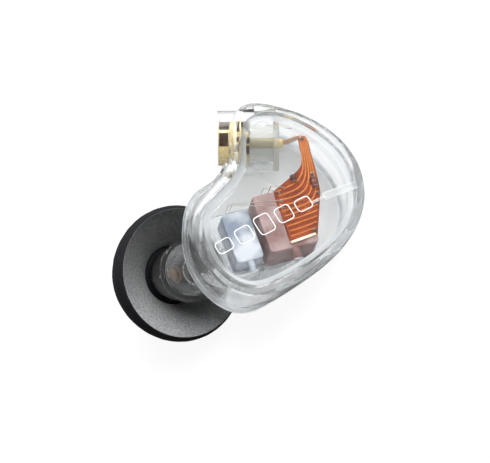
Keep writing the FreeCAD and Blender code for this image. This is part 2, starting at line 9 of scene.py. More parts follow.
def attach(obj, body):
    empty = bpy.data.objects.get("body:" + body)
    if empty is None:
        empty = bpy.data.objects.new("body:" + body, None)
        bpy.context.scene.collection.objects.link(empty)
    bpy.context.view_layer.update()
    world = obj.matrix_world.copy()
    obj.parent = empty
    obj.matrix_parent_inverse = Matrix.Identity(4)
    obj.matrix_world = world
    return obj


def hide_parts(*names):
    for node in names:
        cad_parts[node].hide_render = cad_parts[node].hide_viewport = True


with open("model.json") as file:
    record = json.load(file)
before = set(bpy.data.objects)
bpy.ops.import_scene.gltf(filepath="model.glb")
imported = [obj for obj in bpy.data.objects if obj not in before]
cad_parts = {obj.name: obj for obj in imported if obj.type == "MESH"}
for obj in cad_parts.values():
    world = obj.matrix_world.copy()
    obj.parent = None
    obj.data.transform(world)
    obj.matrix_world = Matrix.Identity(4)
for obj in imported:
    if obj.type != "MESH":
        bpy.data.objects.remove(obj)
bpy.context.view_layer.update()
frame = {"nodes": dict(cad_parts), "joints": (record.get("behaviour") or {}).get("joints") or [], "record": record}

# ------------------------------------------------------------------ the housing's own frame
# Millimetres: X along the housing towards the socket, Y across it, Z out of the face cover.
NOZZLE_AXIS = Vector((0.189, 0.350, -0.917)).normalized()
SOCKET_AXIS = Vector((-0.334, 0.927, -0.170)).normalized()
SOCKET_FACE = Vector((4.85, 7.34, -4.4))        # centre of the boss's outer face
SOCKET_MOUNT_DEPTH = 1.18                       # of the record's mount, under that face
TIP_RIM = Vector((-6.23, 5.83, -9.9))           # centre of the ear tip's rear rim
BOSS_TURN = Vector((0, 0, 1)).rotation_difference(SOCKET_AXIS).to_matrix()
MM = 0.001


def axes_of(first, second):
    """Right-handed axes built on two directions, as a matrix of columns."""
    x = Vector(first).normalized()
    z = x.cross(Vector(second)).normalized()
    return Matrix((x, z.cross(x), z)).transposed()


def turned_to(direction):
    """Rotation that takes local Z to direction."""
    return Vector((0, 0, 1)).rotation_difference(direction).to_matrix().to_4x4()


record = frame["record"]
socket = next(m for m in record["mounts"] if m["name"] == "cable_socket")
pull = next(j for j in frame["joints"] if j["name"] == "ear_tip_pull")
turn = axes_of(pull["axis"], socket["axis"]) @ axes_of(NOZZLE_AXIS, SOCKET_AXIS).transposed()
socket_point = SOCKET_FACE - SOCKET_AXIS * SOCKET_MOUNT_DEPTH
HOUSING = (Matrix.Translation(socket["pos_m"]) @ turn.to_4x4() @ Matrix.Scale(MM, 4)
           @ Matrix.Translation(-socket_point))
NOZZLE = HOUSING @ Matrix.Translation(TIP_RIM) @ turned_to(NOZZLE_AXIS)
BOSS = HOUSING @ Matrix.Translation(SOCKET_FACE) @ turned_to(SOCKET_AXIS)


# ------------------------------------------------------------------ camera
VIEW_TILT = math.radians(27)                    # of the cover from the image plane
VIEW_TURN = math.radians(68)                    # of the housing's long axis in the image
VIEW_CENTRE = Vector((-3.333, -3.287, 0))       # image centre from the housing's origin, in mm
VIEW_WIDTH = 45.37                              # mm across the image at the object
CAMERA_DISTANCE = 600.0
SENSOR = 36.0

c_tilt, s_tilt = math.cos(VIEW_TILT), math.sin(VIEW_TILT)
c_turn, s_turn = math.cos(VIEW_TURN), math.sin(VIEW_TURN)
VIEW = Matrix(((c_turn * c_tilt, -s_turn, c_turn * s_tilt),
               (s_turn * c_tilt, c_turn, s_turn * s_tilt),
               (-s_tilt, 0, c_tilt))).transposed().to_4x4()     # image axes in the housing's
to_image = HOUSING @ VIEW


def add_camera():
    data = bpy.data.cameras.new("camera")
    data.sensor_width = SENSOR
    data.lens = SENSOR * CAMERA_DISTANCE / VIEW_WIDTH
    data.clip_start, data.clip_end = 0.01, 20
    camera = bpy.data.objects.new("camera", data)
    bpy.context.scene.collection.objects.link(camera)
    eye = to_image @ (VIEW_CENTRE + Vector((0, 0, CAMERA_DISTANCE)))
    rotation = to_image.to_3x3().normalized()
    camera.matrix_world = Matrix.Translation(eye) @ rotation.to_4x4()
    bpy.context.scene.camera = camera


KEY_WAY = (0.0, 0.93, 0.37)                     # of the softbox from the object, in image axes
KEY_EDGE, KEY_CORE = 0.78, 0.90                 # cosines where the softbox starts and is full
KEY_INSIDE = 7.0                                # its radiance through clear parts
BARE_WAY = (-0.05, 0.75, 0.66)                  # of the same softbox for bare surfaces
KEY_OUTSIDE = 6.0
FRONT_WAY = (0.0, 0.3, 1.0)                     # of the screen that lights the inside through the cover
FRONT_EDGE, FRONT_CORE = 0.4, 0.8
FRONT_RADIANCE = 2.5
INNER_SKY = 0.25                                # share of sky and floor that lights the inside
GLINT_WAY = (-0.30, 0.91, 0.28)                 # of the part of the softbox that shows in gloss
GLINT_EDGE, GLINT_CORE = 0.93, 0.97
GLINT_RADIANCE = 6.5
UNLIT_EDGE, UNLIT_CORE = -0.2, 0.5              # of the unlit side of the room, for reflections only
UNLIT_RADIANCE = 0.08
SKY_STOPS = ((0.0, (0.72, 0.74, 0.76)), (0.25, (1.02, 1.04, 1.06)), (0.6, (1.35, 1.37, 1.39)))
FILL = 0.12                                     # share of sky and floor that lights bare surfaces
BACKDROP = 0.985
FLOOR_GLOW = 0.93
FLOOR_SHADE = 0.1
FLOOR_RADIUS = 0.6                              # in metres, as the next
FLOOR_DROP = 0.00005


def pick(tree, share, first, second):
    """Colour socket: first where share is 0, second where it is 1."""
    mix = tree.nodes.new("ShaderNodeMix")
    mix.data_type = "RGBA"
    for source, socket in ((share, "Factor"), (first, "A"), (second, "B")):
        if isinstance(source, bpy.types.NodeSocket):
            tree.links.new(source, mix.inputs[socket])
        else:
            mix.inputs[socket].default_value = (source, source, source, 1)
    return mix.outputs["Result"]


def scaled(tree, source, factor):
    node = tree.nodes.new("ShaderNodeVectorMath")
    node.operation = "SCALE"
    tree.links.new(source, node.inputs[0])
    node.inputs["Scale"].default_value = factor
    return node.outputs["Vector"]


def add_world():
    """Pale sky over a greyer horizon, a softbox above and a screen in front.

    Bare surfaces, gloss, the inside of clear parts and the camera each see their own share of them.
    """
    world = bpy.data.worlds.new("studio")
    bpy.context.scene.world = world
    world.use_nodes = True
    tree = world.node_tree
    direction = tree.nodes.new("ShaderNodeTexCoord").outputs["Generated"]

    def lobe(way, edge, core):
        dot = tree.nodes.new("ShaderNodeVectorMath")
        dot.operation = "DOT_PRODUCT"
        dot.inputs[1].default_value = (to_image.to_3x3().normalized() @ Vector(way)).normalized()
        tree.links.new(direction, dot.inputs[0])
        share = tree.nodes.new("ShaderNodeMapRange")
        share.interpolation_type = "SMOOTHSTEP"
        share.inputs["From Min"].default_value = edge
        share.inputs["From Max"].default_value = core
        tree.links.new(dot.outputs["Value"], share.inputs["Value"])
        return share.outputs["Result"]

    split = tree.nodes.new("ShaderNodeSeparateXYZ")
    tree.links.new(direction, split.inputs["Vector"])
    sky = tree.nodes.new("ShaderNodeValToRGB")
    sky.color_ramp.elements.new(0.5)
    for element, (at, colour) in zip(sky.color_ramp.elements, SKY_STOPS):
        element.position = at
        element.color = (*colour, 1)
    tree.links.new(split.outputs["Z"], sky.inputs["Fac"])
    rays = tree.nodes.new("ShaderNodeLightPath").outputs
    key = lobe(KEY_WAY, KEY_EDGE, KEY_CORE)
    bare = lobe(BARE_WAY, KEY_EDGE, KEY_CORE)
    outside = pick(tree, bare, scaled(tree, sky.outputs["Color"], FILL), KEY_OUTSIDE)
    unlit = pick(tree, lobe((0, 0, 1), UNLIT_EDGE, UNLIT_CORE), sky.outputs["Color"], UNLIT_RADIANCE)
    glints = pick(tree, lobe(GLINT_WAY, GLINT_EDGE, GLINT_CORE), unlit, GLINT_RADIANCE)
    room = pick(tree, rays["Is Glossy Ray"], outside, glints)
    inner_sky = scaled(tree, sky.outputs["Color"], INNER_SKY)
    front = pick(tree, lobe(FRONT_WAY, FRONT_EDGE, FRONT_CORE), inner_sky, FRONT_RADIANCE)
    inside = pick(tree, rays["Diffuse Depth"], room, pick(tree, key, front, KEY_INSIDE))
    room = pick(tree, rays["Is Transmission Ray"], room, inside)
    seen = pick(tree, rays["Is Camera Ray"], room, BACKDROP)
    tree.links.new(seen, tree.nodes["Background"].inputs["Color"])


def add_studio():
    bpy.context.scene.view_settings.view_transform = "Standard"
    add_world()
    bm = bmesh.new()
    bmesh.ops.create_circle(bm, cap_ends=True, segments=96, radius=FLOOR_RADIUS)
    floor = new_object("floor", bm)
    floor.location.z = -FLOOR_DROP
    paint = new_material("floor_white")
    tree = paint.node_tree
    shader = tree.nodes["Principled BSDF"]
    shader.inputs["Base Color"].default_value = (FLOOR_SHADE, FLOOR_SHADE, FLOOR_SHADE, 1)
    shader.inputs["Roughness"].default_value = 1.0
    shader.inputs["Specular IOR Level"].default_value = 0.0
    shader.inputs["Emission Strength"].default_value = 1.0
    rays = tree.nodes.new("ShaderNodeLightPath").outputs
    inside = pick(tree, rays["Diffuse Depth"], FLOOR_GLOW, FLOOR_GLOW * INNER_SKY)
    glow = pick(tree, rays["Is Transmission Ray"], FLOOR_GLOW * FILL, inside)
    glow = pick(tree, rays["Is Camera Ray"], glow, FLOOR_GLOW)
    tree.links.new(glow, shader.inputs["Emission Color"])
    floor.data.materials.append(paint)


# ------------------------------------------------------------------ materials
def new_material(name):
    material = bpy.data.materials.new(name)
    material.use_nodes = True
    return material


NOISE_ROUGHNESS = 0.55


class Paint:
    """A Principled material with its node tree, and short calls for the usual patterns."""

    def __init__(self, name, rough=0.5, metal=0.0, **sockets):
        self.material = new_material(name)
        self.tree = self.material.node_tree
        self.shader = self.tree.nodes["Principled BSDF"]
        self.set("Roughness", rough)
        self.set("Metallic", metal)
        for key, value in sockets.items():
            self.set(key.replace("_", " "), value)
        self.coords = self.node("ShaderNodeTexCoord").outputs["Object"]

    def set(self, socket, value):
        self.shader.inputs[socket].default_value = value

    def node(self, kind, **settings):
        node = self.tree.nodes.new(kind)
        for key, value in settings.items():
            setattr(node, key, value)
        return node

    def link(self, source, target):
        self.tree.links.new(source, target)

    def noise(self, per_mm, detail):
        node = self.node("ShaderNodeTexNoise")
        node.inputs["Scale"].default_value = per_mm / MM
        node.inputs["Detail"].default_value = detail
        node.inputs["Roughness"].default_value = NOISE_ROUGHNESS
        self.link(self.coords, node.inputs["Vector"])
        return node.outputs["Fac"]

    def ramp(self, source, stops):
        node = self.node("ShaderNodeValToRGB")
        while len(node.color_ramp.elements) < len(stops):
            node.color_ramp.elements.new(0.5)
        for element, (at, colour) in zip(node.color_ramp.elements, stops):
            element.position = at
            element.color = (*colour, 1)
        self.link(source, node.inputs["Fac"])
        return node.outputs["Color"]

    def colour(self, source, *stops):
        self.link(self.ramp(source, stops), self.shader.inputs["Base Color"])
        return self

    def vary_roughness(self, source, low, high):
        node = self.node("ShaderNodeMapRange")
        node.inputs["To Min"].default_value = low
        node.inputs["To Max"].default_value = high
        self.link(source, node.inputs["Value"])
        self.link(node.outputs["Result"], self.shader.inputs["Roughness"])
        return self

    def bump(self, source, height_mm, strength=1.0):
        node = self.node("ShaderNodeBump")
        node.inputs["Distance"].default_value = height_mm * MM
        node.inputs["Strength"].default_value = strength
        self.link(source, node.inputs["Height"])
        self.link(node.outputs["Normal"], self.shader.inputs["Normal"])
        return self


GRAIN_HEIGHT = 0.004


def mixed_metal(name, dark, light, rough, metal=1.0):
    """Plain metal part: two mixed shades and a fine grain."""
    paint = Paint(name, rough, metal)
    grainy = paint.noise(6.0, 5)
    paint.colour(grainy, (0.3, dark), (0.7, light))
    paint.vary_roughness(grainy, rough * 0.75, rough * 1.3)
    return paint.bump(grainy, GRAIN_HEIGHT)


def moulded(name, dark, light, rough, grain=3.0, height=GRAIN_HEIGHT, **sockets):
    """Moulded or cast part: two mixed shades, a grain per mm and its height in mm."""
    paint = Paint(name, rough, 0.0, **sockets)
    grainy = paint.noise(grain, 4)
    paint.colour(grainy, (0.3, dark), (0.7, light))
    paint.vary_roughness(grainy, rough * 0.8, rough * 1.25)
    return paint.bump(grainy, height)


def clear(name, tint, haze, rough, ior):
    """Clear moulding: a polished skin over a slightly hazy, wavy body."""
    paint = Paint(name, rough, 0.0, Transmission_Weight=haze, IOR=ior, Coat_Weight=1.0,
                  Coat_Roughness=0.02, Coat_IOR=1.5)
    wavy = paint.noise(0.35, 1)
    paint.colour(wavy, (0.3, tint), (0.7, tuple(min(1.0, c * 1.02) for c in tint)))
    return paint.bump(wavy, 0.01, 0.5)


def can_metal(name, shade, light):
    """Drawn can: satin metal with broad cloudy tones and fine drawing grain."""
    paint = Paint(name, 0.4, 0.25)
    cloud = paint.noise(0.45, 2)
    paint.colour(cloud, (0.38, shade), (0.6, light))
    paint.vary_roughness(cloud, 0.3, 0.5)
    return paint.bump(paint.noise(7.0, 3), 0.003)


def vector_math(paint, operation, first, second):
    node = paint.node("ShaderNodeVectorMath", operation=operation)
    for socket, value in zip(node.inputs, (first, second)):
        if isinstance(value, bpy.types.NodeSocket):
            paint.link(value, socket)
        else:
            socket.default_value = value
    return node.outputs


def step(paint, source, span_mm, low, high):
    """Socket that goes smoothly from low to high over a span of the source."""
    node = paint.node("ShaderNodeMapRange", interpolation_type="SMOOTHSTEP")
    for socket, value in zip(node.inputs[1:5], (span_mm[0] * MM, span_mm[1] * MM, low, high)):
        socket.default_value = value
    paint.link(source, node.inputs["Value"])
    return node.outputs["Result"]


def along_and_away(paint, point, axis):
    """Sockets of the distance along an axis of the housing, and of the distance away from it."""
    way = (HOUSING.to_3x3() @ axis).normalized()
    offset = vector_math(paint, "SUBTRACT", paint.coords, HOUSING @ point)["Vector"]
    across = vector_math(paint, "CROSS_PRODUCT", offset, way)["Vector"]
    along = vector_math(paint, "DOT_PRODUCT", offset, way)["Value"]
    return along, vector_math(paint, "LENGTH", across, way)["Value"]


def shell_plastic():
    """Clear shell, a touch hazier away from the boss."""
    paint = clear("clear_shell", (0.96, 0.97, 0.975), 0.98, 0.05, 1.13)
    away = along_and_away(paint, SOCKET_FACE, SOCKET_AXIS)[1]
    paint.link(step(paint, away, BOSS_EDGE, 0.995, 0.955), paint.shader.inputs["Transmission Weight"])
    return paint


def frosted_bowl():
    """Ear-side shell: milky bowl, clear near the nozzle's axis, painted dark at the nozzle's end."""
    paint = clear("frosted_bowl", (0.96, 0.97, 0.98), 0.5, 0.2, 1.12)
    along, away = along_and_away(paint, TIP_RIM, NOZZLE_AXIS)
    # The dark band stands in for the dark tip core seen through the shell, and is painted shade deep in the tip's
    # funnel.
    neck_dark = paint.node("ShaderNodeMath", operation="MULTIPLY")
    paint.link(step(paint, along, NECK_DARK_EDGE, 0.0, 1.0), neck_dark.inputs[0])
    paint.link(step(paint, away, BOWL_EDGE, 1.0, 0.0), neck_dark.inputs[1])
    plain = paint.shader.inputs["Base Color"].links[0].from_socket
    shade = pick(paint.tree, neck_dark.outputs["Value"], plain, NECK_DARK_COLOUR)
    clarity = step(paint, away, BOWL_EDGE, 0.97, BOWL_CLARITY)
    paint.link(shade, paint.shader.inputs["Base Color"])
    paint.link(pick(paint.tree, neck_dark.outputs["Value"], clarity, NECK_DARK_CLARITY),
               paint.shader.inputs["Transmission Weight"])
    return paint


def paint_funnel_shade(paint):
    """Paint the funnel darker toward the photo's top and lighter toward its bottom.

    The direction is the image's vertical, so this is painted shade. It stays put in other views.
    """
    offset = paint.node("ShaderNodeVectorMath", operation="SUBTRACT")
    offset.inputs[1].default_value = HOUSING @ TIP_RIM
    paint.link(paint.coords, offset.inputs[0])
    height = paint.node("ShaderNodeVectorMath", operation="DOT_PRODUCT")
    height.inputs[1].default_value = (to_image.to_3x3() @ Vector((0, 1, 0))).normalized()
    paint.link(offset.outputs["Vector"], height.inputs[0])
    share = paint.node("ShaderNodeMapRange")
    share.inputs["From Min"].default_value = FUNNEL_SHADE_REACH * MM
    share.inputs["From Max"].default_value = -FUNNEL_SHADE_REACH * MM
    paint.link(height.outputs["Value"], share.inputs["Value"])
    plain = paint.shader.inputs["Base Color"].links[0].from_socket
    dark, light = (scaled(paint.tree, plain, factor) for factor in FUNNEL_SHADE_FACTORS)
    paint.link(pick(paint.tree, share.outputs["Result"], dark, light), paint.shader.inputs["Base Color"])


BOSS_EDGE = (3.3, 4.2)                          # from the socket's axis, where the shell's haze sets in
NECK_DARK_EDGE = (-1.6, -1.3)                      # along the nozzle's axis, where the painted dark band starts
# colour and clarity of the dark band: the core's own dark and painted shade
NECK_DARK_COLOUR, NECK_DARK_CLARITY = 0.012, 0.1
FUNNEL_SHADE_REACH = 5.4                                 # from the rim's centre to where the painted shade is darkest
# factors of the painted shade at its darkest and at its lightest
FUNNEL_SHADE_FACTORS = (0.4, 1.5)
BOWL_EDGE = (3.1, 3.8)                          # from the nozzle's axis, where the milkiness sets in
BOWL_CLARITY = 0.15                             # transmission of the milky part
MATERIALS = {
    "clear_cover": clear("clear_cover", (0.975, 0.985, 0.99), 0.995, 0.05, 1.13),
    "clear_shell": shell_plastic(),
    "bond_white": moulded("bond_white", (0.90, 0.92, 0.93), (0.97, 0.98, 0.99), 0.3,
                          Transmission_Weight=0.88, IOR=1.12),
    "mark_white": moulded("mark_white", (0.93, 0.94, 0.95), (1.0, 1.0, 1.0), 0.3),
    "stem_grey": moulded("stem_grey", (0.012, 0.013, 0.015), (0.03, 0.031, 0.034), 0.35),
    "damper_cloth": moulded("damper_cloth", (0.35, 0.2, 0.08), (0.6, 0.4, 0.2), 0.8, 12, 0.01),
    "screen_steel": mixed_metal("screen_steel", (0.5, 0.5, 0.52), (0.72, 0.72, 0.74), 0.3),
    "core_rubber": moulded("core_rubber", (0.004, 0.005, 0.006), (0.009, 0.010, 0.012), 0.35,
                           Specular_IOR_Level=0.12),
    "gold": mixed_metal("gold", (0.80, 0.60, 0.26), (0.92, 0.76, 0.40), 0.25, metal=0.4),
    "insulator": moulded("insulator", (0.95, 0.94, 0.86), (0.99, 0.985, 0.94), 0.2,
                         Transmission_Weight=0.85, IOR=1.15),
    "copper_tail": mixed_metal("copper_tail", (0.85, 0.5, 0.35), (0.97, 0.75, 0.6), 0.3),
    "polyimide": moulded("polyimide", (0.13, 0.015, 0.0005), (0.28, 0.042, 0.002), 0.4, 0.8, 0.01,
                         Specular_IOR_Level=0.2),
    "copper_trace": moulded("copper_trace", (0.46, 0.12, 0.015), (0.60, 0.20, 0.035), 0.35,
                            Specular_IOR_Level=0.2),
    "ceramic_tan": moulded("ceramic_tan", (0.14, 0.04, 0.02), (0.24, 0.08, 0.04), 0.4),
    "ceramic_black": moulded("ceramic_black", (0.05, 0.02, 0.015), (0.10, 0.04, 0.03), 0.4),
    "solder": mixed_metal("solder", (0.30, 0.17, 0.12), (0.55, 0.40, 0.33), 0.35),
    "clear_silicone": moulded("clear_silicone", (0.9, 0.92, 0.93), (0.97, 0.98, 0.98), 0.25,
                              Transmission_Weight=0.85, IOR=1.2),
    # Painted reflection: the can's pink tint stands in for the orange flex reflected in it.
    "woofer_can": can_metal("woofer_can", (0.24, 0.13, 0.12), (0.42, 0.30, 0.29)),
    "tweeter_can": can_metal("tweeter_can", (0.22, 0.26, 0.33), (0.58, 0.61, 0.65)),
    "nickel_iron": mixed_metal("nickel_iron", (0.45, 0.45, 0.46), (0.62, 0.62, 0.63), 0.35),
    "magnet": mixed_metal("magnet", (0.3, 0.3, 0.32), (0.5, 0.5, 0.52), 0.3),
    "coil_copper": mixed_metal("coil_copper", (0.5, 0.2, 0.07), (0.75, 0.38, 0.16), 0.35),
    "membrane": mixed_metal("membrane", (0.75, 0.76, 0.78), (0.88, 0.89, 0.9), 0.3),
    "board_green": moulded("board_green", (0.03, 0.16, 0.08), (0.08, 0.28, 0.15), 0.4),
    "black_foam": moulded("black_foam", (0.010, 0.010, 0.012), (0.018, 0.018, 0.021), 0.7, 9, 0.02,
                          Specular_IOR_Level=0.1),
    "lead_wire": mixed_metal("lead_wire", (0.80, 0.68, 0.60), (0.92, 0.84, 0.78), 0.4),
}
# Funnel foam: grainier than the skin and far lighter than it, partly its own grey and partly painted light.
FOAM_CUT_AND_LIT = moulded("foam_cut_and_lit", (0.12, 0.122, 0.124), (0.27, 0.275, 0.277), 0.95, 7, 0.03,
                   Specular_IOR_Level=0.05)
# Painted shade: the funnel's foam darker towards the view's top and lighter towards its bottom.
paint_funnel_shade(FOAM_CUT_AND_LIT)
FROSTED_BOWL = frosted_bowl()
# Painted reflection: the dark patches on the gold barrel's outside.
DARK_REFLECTION_PAINT = moulded("painted_dark_reflection", (0.030, 0.014, 0.006), (0.055, 0.030, 0.014), 0.45,
                     Specular_IOR_Level=0.05)
# Painted highlight along the flex's lower edge.
PAINTED_EDGE_HIGHLIGHT = moulded("painted_edge_highlight", (0.72, 0.58, 0.44), (0.86, 0.74, 0.60), 0.5,
                     Specular_IOR_Level=0.2)
# milky film under the white bar, part of its painted reflection
STREAK_FILM = moulded("streak_film", (0.90, 0.92, 0.93), (0.98, 0.99, 1.0), 0.3,
                    Transmission_Weight=0.9, IOR=1.12)


# ------------------------------------------------------------------ mesh helpers
def new_object(name, bm):
    mesh = bpy.data.meshes.new(name)
    bmesh.ops.recalc_face_normals(bm, faces=bm.faces)
    bm.to_mesh(mesh)
    bm.free()
    piece = bpy.data.objects.new(name, mesh)
    bpy.context.scene.collection.objects.link(piece)
    return piece


def finished(piece, placement, slot, body, *nodes):
    """Bake the placement into the mesh, paint it, and hang it on its body."""
    piece.data.transform(placement)
    for polygon in piece.data.polygons:
        polygon.use_smooth = True
    piece.data.materials.append(MATERIALS[slot].material)
    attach(piece, body)
    if nodes:
        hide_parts(*nodes)
    return piece


def paint_cad_nodes():
    slots = {s["node"]: s["material_slot"] for s in record["subparts"]}
    for name, node in frame["nodes"].items():
        node.data.materials.clear()
        paint = FROSTED_BOWL if name == "nozzle_shell" else MATERIALS[slots[name]]
        node.data.materials.append(paint.material)


def spline_points(points, order=3):
    """A smooth line that follows control points, as a list of points."""
    curve = bpy.data.curves.new("guide", "CURVE")
    curve.dimensions = "3D"
    curve.resolution_u = 8
    spline = curve.splines.new("NURBS")
    spline.points.add(len(points) - 1)
    for target, point in zip(spline.points, points):
        target.co = (*point, 1)
    spline.order_u = order
    spline.use_endpoint_u = True
    guide = bpy.data.objects.new("guide", curve)
    mesh = bpy.data.meshes.new_from_object(guide)
    line = [v.co.copy() for v in mesh.vertices]
    bpy.data.objects.remove(guide)
    bpy.data.curves.remove(curve)
    bpy.data.meshes.remove(mesh)
    return line


def flat_spline(points, order=3):
    """The smooth line of (x, y) control points, as (x, y) points."""
    return [tuple(p)[:2] for p in spline_points([(*p, 0) for p in points], order)]


def sweep(bm, line, section, up, cyclic=False):
    """Sweep a closed section of (across, height) points along a line, up being the height's way."""
    rings = []
    count = len(line)
    for index, point in enumerate(line):
        ahead = line[(index + 1) % count] if cyclic or index + 1 < count else point
        behind = line[index - 1] if cyclic or index else point
        run = (ahead - behind).normalized()
        height_way = up(point) if callable(up) else up
        across = height_way.cross(run).normalized()
        height_way = run.cross(across)
        rings.append([bm.verts.new(point + across * x + height_way * y) for x, y in section])
    pairs = list(zip(rings, rings[1:])) + ([(rings[-1], rings[0])] if cyclic else [])
    for first, second in pairs:
        for k in range(len(section)):
            bm.faces.new((first[k - 1], first[k], second[k], second[k - 1]))
    if not cyclic:
        bm.faces.new(rings[0])
        bm.faces.new(reversed(rings[-1]))


def round_section(radius, sides=10):
    turns = [2 * math.pi * k / sides for k in range(sides)]
    return [(radius * math.cos(t), radius * math.sin(t)) for t in turns]


def flat_section(width, height, corner):
    """Rounded bar, its foot at height 0."""
    x, k = width / 2, corner * 0.3
    half = [(x, 0), (x, height - corner), (x - k, height - k), (x - corner, height)]
    return half + [(-px, py) for px, py in reversed(half)]


def revolve(bm, profile, segments, material=None):
    """Turn a closed profile of (along, radius) points about local Z; material gives a face's index."""
    rings = []
    for along, radius in profile:
        rings.append([bm.verts.new((radius * math.cos(t), radius * math.sin(t), along))
                      for t in (2 * math.pi * k / segments for k in range(segments))])
    for row, (first, second) in enumerate(zip(rings, rings[1:] + rings[:1])):
        for k in range(segments):
            face = bm.faces.new((first[k - 1], first[k], second[k], second[k - 1]))
            if material:
                face.material_index = material(row, face)


def rounded_profile(points):
    """Profile with each corner cut back twice, for soft edges."""
    for _ in range(2):
        softer = []
        for index, point in enumerate(points):
            before, after = Vector(points[index - 1]), Vector(points[(index + 1) % len(points)])
            here = Vector(point)
            softer += [here.lerp(before, 0.25), here.lerp(after, 0.25)]
        points = [tuple(p) for p in softer]
    return points


# ------------------------------------------------------------------ ear tip
def rough_up(bm, amount, per_mm, seed):
    """Push every vertex along its normal by a fixed noise."""
    bm.normal_update()
    for vert in bm.verts:
        shift = noise.noise(vert.co * per_mm + Vector((seed, 0, 0)))
        vert.co += vert.normal * shift * amount


# Profiles of the foam sleeve, as (along, radius) from the rim.
FOAM_SIDE = [(0.0, 6.08), (0.35, 6.36), (1.3, 6.46), (3.0, 5.9), (5.0, 5.0), (7.0, 3.95), (8.35, 3.3),
             (8.9, 2.75), (8.88, 2.3)]
FOAM_BORE = [(8.0, 2.0), (8.0, 2.72), (5.2, 2.72)]
FOAM_FUNNEL = [(2.45, 2.74), (2.1, 3.05), (1.15, 4.2), (0.3, 5.6), (0.0, 6.08)]


def foam_sleeve():
    """Foam sleeve: a smooth dark side skin, and a cut, grainier funnel that faces the housing, painted lighter
    partly as painted light.
    """
    side = flat_spline(FOAM_SIDE)
    profile = side + FOAM_BORE + flat_spline(FOAM_FUNNEL, 4)[:-1]
    first_funnel = len(side) + len(FOAM_BORE)

    def material(row, face):
        return 1 if row >= first_funnel - 1 else 0

    bm = bmesh.new()
    revolve(bm, profile, 192, material=material)
    bmesh.ops.subdivide_edges(bm, edges=[e for e in bm.edges if e.calc_length() > 0.5], cuts=1,
                              use_grid_fill=True)
    rough_up(bm, 0.025, 1.6, 3)
    rough_up(bm, 0.010, 5.0, 11)
    piece = finished(new_object("foam_sleeve_soft", bm), NOZZLE, "black_foam", "ear_tip", "foam_sleeve")
    # the funnel's lighter foam, partly painted light
    piece.data.materials.append(FOAM_CUT_AND_LIT.material)


CORE_FRONT = [(7.98, 2.68)]
CORE_REAR = [(2.47, 1.7), (2.42, 1.95), (2.40, 2.2), (2.42, 2.5), (2.5, 2.66), (2.62, 2.69)]


def tip_core():
    """Rubber core that grips the nozzle tube, with a rolled rear lip and grip rings in its bore."""
    bore = [(8.0 - 0.25 * k, 1.64 + (0.05 if k % 2 else 0.0)) for k in range(22)]
    bm = bmesh.new()
    revolve(bm, CORE_FRONT + bore + CORE_REAR, 96)
    finished(new_object("tip_core_rubber", bm), NOZZLE, "core_rubber", "ear_tip", "tip_core")


def wax_screen():
    """Woven screen across the end of the nozzle tube, in a thin ring."""
    radius, z, thickness, rim = 1.23, 6.99, 0.08, 0.16
    bm = bmesh.new()
    low, high = z - thickness, z + thickness
    ring = [(low, radius), (high, radius), (high, radius - rim), (low, radius - rim)]
    revolve(bm, rounded_profile(ring), 64)
    pitch, wire = 0.15, 0.028
    for across in (False, True):
        for k in range(-7, 8):
            reach = math.sqrt(max(0.0, (radius - 0.1) ** 2 - (k * pitch) ** 2))
            steps = max(2, round(2 * reach / pitch) * 2)
            line = []
            for j in range(steps + 1):
                t = -reach + 2 * reach * j / steps
                wave = wire * math.cos(math.pi * (t / pitch + k + (1 if across else 0)))
                line.append(Vector((k * pitch, t, z + wave) if across else (t, k * pitch, z + wave)))
            if reach > pitch:
                sweep(bm, line, round_section(wire, 6), Vector((0, 0, 1)))
    finished(new_object("wax_screen_weave", bm), NOZZLE, "screen_steel", "housing", "wax_screen")


# ------------------------------------------------------------------ cable socket
BARREL_SKIN = 2.0                               # radius above which a face lies on the barrel's outside
# patches of painted dark reflection on the barrel's outside
BARREL_DARK = [((-1.5, -0.15), (-8, 27)), ((-1.5, -0.15), (36, 178)), ((-3.0, -1.85), (27, 178)),
               ((-3.0, -1.85), (-3, 13)), ((-3.0, -1.85), (-30, -8))]     # (along), (degrees in the image)


def barrel_shade(row, face):
    """Index 1 on the patches of the barrel's outside that the photo shows dark, 0 elsewhere.

    They stand in for dark reflections, and their angles are taken in the image's axes.
    """
    centre = BOSS_TURN @ face.calc_center_median()
    radial = VIEW.to_3x3().transposed() @ (centre - SOCKET_AXIS * centre.dot(SOCKET_AXIS))
    if radial.length < BARREL_SKIN:
        return 0
    angle = math.degrees(math.atan2(radial.y, radial.z))
    along = centre.dot(SOCKET_AXIS)
    return int(any(a0 < along < a1 and d0 < angle < d1 for (a0, a1), (d0, d1) in BARREL_DARK))


def socket_barrel():
    """Turned barrel with fine grooves outside and a stepped bore."""
    outside = [(-0.18, 2.05), (-1.5, 2.05), (-1.55, 2.0), (-1.62, 2.05), (-1.72, 2.0), (-1.8, 2.05),
               (-2.4, 2.05), (-2.45, 2.0), (-2.5, 2.05), (-2.97, 2.05), (-3.0, 2.02)]
    inside = [(-3.0, 1.3), (-2.5, 1.3), (-2.5, 1.5), (-1.9, 1.5), (-1.9, 1.65), (-1.6, 1.65),
              (-1.6, 1.5), (-0.22, 1.5), (-0.1, 1.62), (-0.1, 1.98)]
    bm = bmesh.new()
    revolve(bm, outside + inside, 144, material=barrel_shade)
    piece = finished(new_object("socket_barrel_turned", bm), BOSS, "gold", "housing", "socket_barrel")
    # the patches take the painted dark reflection
    piece.data.materials.append(DARK_REFLECTION_PAINT.material)


